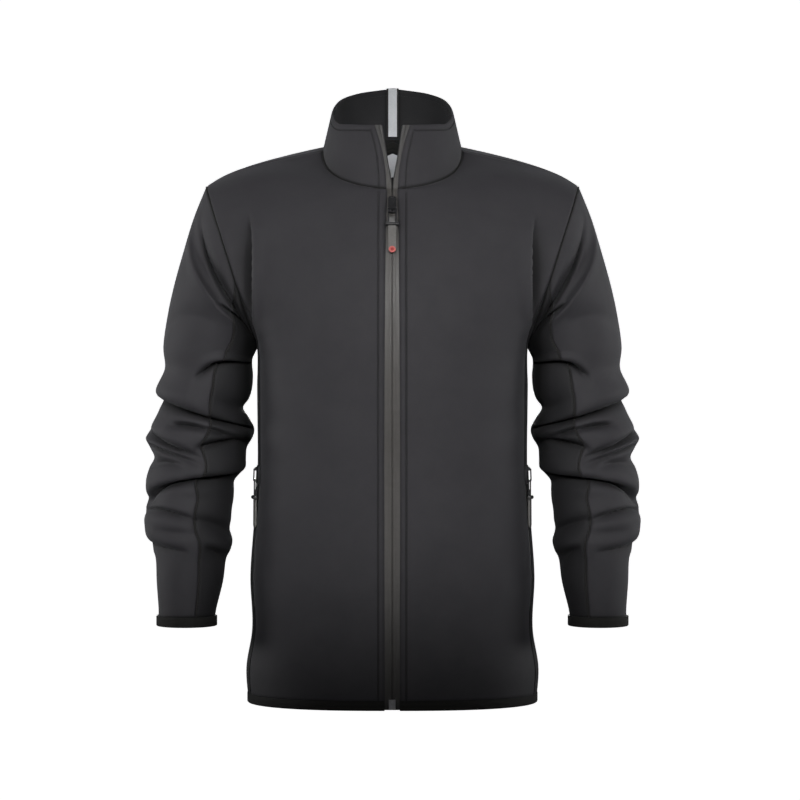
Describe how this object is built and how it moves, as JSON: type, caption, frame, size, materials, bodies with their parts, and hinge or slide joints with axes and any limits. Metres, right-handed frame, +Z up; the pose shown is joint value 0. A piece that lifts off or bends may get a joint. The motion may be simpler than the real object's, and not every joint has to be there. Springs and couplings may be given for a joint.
{
  "type": "softshell jacket",
  "caption": "Softshell jacket with a stand collar, full front zip, side panels and two-piece sleeves, filled out as worn and hollow, open at neck, hem and cuffs.",
  "frame": {"origin": "middle of the neck opening, level with the shoulder seams' neck ends, where the wearer's shoulders hold it", "axes": "+Z up, +Y to the back, +X to the wearer's left"},
  "size_m": [0.6204, 0.271, 0.7727],
  "materials": {
    "softshell": "smooth matte softshell face with a faint sheen",
    "lining": "matte knitted back of the cloth",
    "binding": "matte elastic binding",
    "zip_tape": "laminated, satin, fine ribs along its length",
    "zip_metal": "dark gunmetal, satin",
    "box_metal": "satin",
    "grip": "moulded, matte",
    "dot": "moulded, satin",
    "label": "plain printed patch, no marks",
    "reflective": "grey retroreflective tape with dark edges"
  },
  "bodies": {
    "jacket": {"front_left": "softshell", "front_right": "softshell", "side_left": "softshell", "side_right": "softshell", "back": "softshell", "sleeve_upper_left": "softshell", "sleeve_upper_right": "softshell", "sleeve_under_left": "softshell", "sleeve_under_right": "softshell", "collar": "softshell", "collar_facing": "lining", "hem_binding": "binding", "cuff_binding_left": "binding", "cuff_binding_right": "binding", "zip_tape_left": "zip_tape", "zip_tape_right": "zip_tape", "zip_slider": "zip_metal", "zip_bridge": "zip_metal", "zip_box": "box_metal", "pocket_left_slider": "zip_metal", "pocket_left_bridge": "zip_metal", "pocket_right_slider": "zip_metal", "pocket_right_bridge": "zip_metal", "neck_tape": "binding", "hanger_loop": "lining", "neck_label": "label", "neck_reflector": "reflective"},
    "zip_pull": {"zip_pull_head": "zip_metal", "zip_pull_grip": "grip", "zip_pull_dot": "dot"},
    "pocket_left_pull": {"pocket_left_pull_head": "zip_metal", "pocket_left_pull_grip": "grip"},
    "pocket_right_pull": {"pocket_right_pull_head": "zip_metal", "pocket_right_pull_grip": "grip"}
  },
  "joints": [
    {"name": "zip_pull_hinge", "type": "hinge", "parent": "jacket", "child": "zip_pull", "pos_m": [0, -0.10806, -0.08], "axis": [-1, 0, 0], "range_deg": [0, 150]},
    {"name": "pocket_left_pull_hinge", "type": "hinge", "parent": "jacket", "child": "pocket_left_pull", "pos_m": [0.16906, -0.04731, -0.41099], "axis": [-0.2663, -0.9633, -0.0326], "range_deg": [0, 75]},
    {"name": "pocket_right_pull_hinge", "type": "hinge", "parent": "jacket", "child": "pocket_right_pull", "pos_m": [-0.16906, -0.04731, -0.41099], "axis": [-0.2663, 0.9633, 0.0326], "range_deg": [0, 75]}
  ]
}
